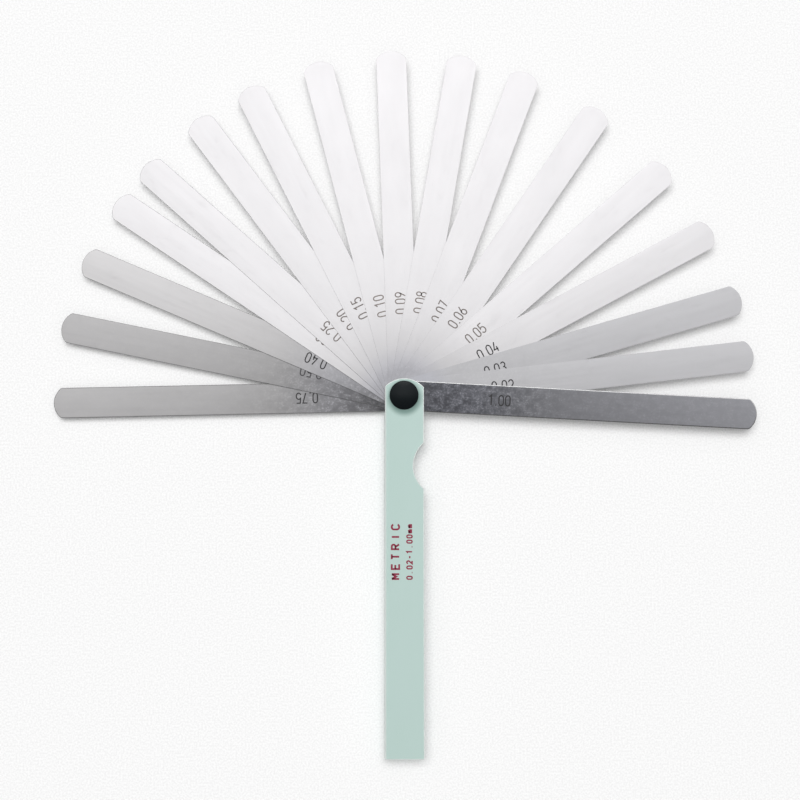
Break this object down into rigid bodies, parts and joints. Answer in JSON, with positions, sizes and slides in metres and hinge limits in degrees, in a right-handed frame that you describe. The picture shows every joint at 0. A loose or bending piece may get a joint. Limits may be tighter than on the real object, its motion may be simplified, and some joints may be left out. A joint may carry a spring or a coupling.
{
  "type": "feeler gauge",
  "caption": "Metric feeler gauge: graded steel blades that fan out from a folded green sheath on a domed pivot, with a thumb notch in the sheath's edge.",
  "frame": {"origin": "on the pivot's axis, at the flat face of the rear screw's head, which is the lowest point", "axes": "+Z along the pivot's axis and out of the front, -Y from the pivot along the sheath, +X towards the sheath's open edge"},
  "size_m": [0.2998, 0.3023, 0.0112],
  "materials": {
    "green_paint": "satin enamel",
    "blade_steel": "fine ground along the blade",
    "black_oxide": "satin black",
    "screw_steel": "zinc plated",
    "washer_steel": "zinc plated"
  },
  "bodies": {
    "sheath": {"sheath": "green_paint", "sleeve_nut": "black_oxide", "front_washer": "washer_steel", "rear_washer": "washer_steel", "wave_washer": "washer_steel"},
    "pivot_screw": {"pivot_screw": "screw_steel"},
    "blade_100": {"blade_100": "blade_steel"},
    "blade_002": {"blade_002": "blade_steel"},
    "blade_003": {"blade_003": "blade_steel"},
    "blade_004": {"blade_004": "blade_steel"},
    "blade_005": {"blade_005": "blade_steel"},
    "blade_006": {"blade_006": "blade_steel"},
    "blade_007": {"blade_007": "blade_steel"},
    "blade_008": {"blade_008": "blade_steel"},
    "blade_009": {"blade_009": "blade_steel"},
    "blade_010": {"blade_010": "blade_steel"},
    "blade_015": {"blade_015": "blade_steel"},
    "blade_020": {"blade_020": "blade_steel"},
    "blade_025": {"blade_025": "blade_steel"},
    "blade_030": {"blade_030": "blade_steel"},
    "blade_040": {"blade_040": "blade_steel"},
    "blade_050": {"blade_050": "blade_steel"},
    "blade_075": {"blade_075": "blade_steel"}
  },
  "joints": [
    {"name": "blade_100_swing", "type": "hinge", "parent": "sheath", "child": "blade_100", "pos_m": [0, 0, 0.005], "axis": [0, 0, 1], "range_deg": [-86.8, 190.2]},
    {"name": "blade_002_swing", "type": "hinge", "parent": "sheath", "child": "blade_002", "pos_m": [0, 0, 0.005], "axis": [0, 0, 1], "range_deg": [-96.5, 180.5]},
    {"name": "blade_003_swing", "type": "hinge", "parent": "sheath", "child": "blade_003", "pos_m": [0, 0, 0.005], "axis": [0, 0, 1], "range_deg": [-106, 171]},
    {"name": "blade_004_swing", "type": "hinge", "parent": "sheath", "child": "blade_004", "pos_m": [0, 0, 0.005], "axis": [0, 0, 1], "range_deg": [-118.1, 158.9]},
    {"name": "blade_005_swing", "type": "hinge", "parent": "sheath", "child": "blade_005", "pos_m": [0, 0, 0.005], "axis": [0, 0, 1], "range_deg": [-130.9, 146.1]},
    {"name": "blade_006_swing", "type": "hinge", "parent": "sheath", "child": "blade_006", "pos_m": [0, 0, 0.005], "axis": [0, 0, 1], "range_deg": [-145.6, 131.4]},
    {"name": "blade_007_swing", "type": "hinge", "parent": "sheath", "child": "blade_007", "pos_m": [0, 0, 0.005], "axis": [0, 0, 1], "range_deg": [-159.2, 117.8]},
    {"name": "blade_008_swing", "type": "hinge", "parent": "sheath", "child": "blade_008", "pos_m": [0, 0, 0.005], "axis": [0, 0, 1], "range_deg": [-170.1, 106.9]},
    {"name": "blade_009_swing", "type": "hinge", "parent": "sheath", "child": "blade_009", "pos_m": [0, 0, 0.005], "axis": [0, 0, 1], "range_deg": [-182.1, 94.9]},
    {"name": "blade_010_swing", "type": "hinge", "parent": "sheath", "child": "blade_010", "pos_m": [0, 0, 0.005], "axis": [0, 0, 1], "range_deg": [-194.6, 82.4]},
    {"name": "blade_015_swing", "type": "hinge", "parent": "sheath", "child": "blade_015", "pos_m": [0, 0, 0.005], "axis": [0, 0, 1], "range_deg": [-206.7, 70.3]},
    {"name": "blade_020_swing", "type": "hinge", "parent": "sheath", "child": "blade_020", "pos_m": [0, 0, 0.005], "axis": [0, 0, 1], "range_deg": [-216.8, 60.2]},
    {"name": "blade_025_swing", "type": "hinge", "parent": "sheath", "child": "blade_025", "pos_m": [0, 0, 0.005], "axis": [0, 0, 1], "range_deg": [-228.2, 48.8]},
    {"name": "blade_030_swing", "type": "hinge", "parent": "sheath", "child": "blade_030", "pos_m": [0, 0, 0.005], "axis": [0, 0, 1], "range_deg": [-236, 41]},
    {"name": "blade_040_swing", "type": "hinge", "parent": "sheath", "child": "blade_040", "pos_m": [0, 0, 0.005], "axis": [0, 0, 1], "range_deg": [-246.9, 30.1]},
    {"name": "blade_050_swing", "type": "hinge", "parent": "sheath", "child": "blade_050", "pos_m": [0, 0, 0.005], "axis": [0, 0, 1], "range_deg": [-258.4, 18.6]},
    {"name": "blade_075_swing", "type": "hinge", "parent": "sheath", "child": "blade_075", "pos_m": [0, 0, 0.005], "axis": [0, 0, 1], "range_deg": [-271.1, 5.9]},
    {"name": "pivot_screw_turn", "type": "hinge", "parent": "sheath", "child": "pivot_screw", "pos_m": [0, 0, 0.001], "axis": [0, 0, 1], "range_deg": [-90, 90]}
  ]
}
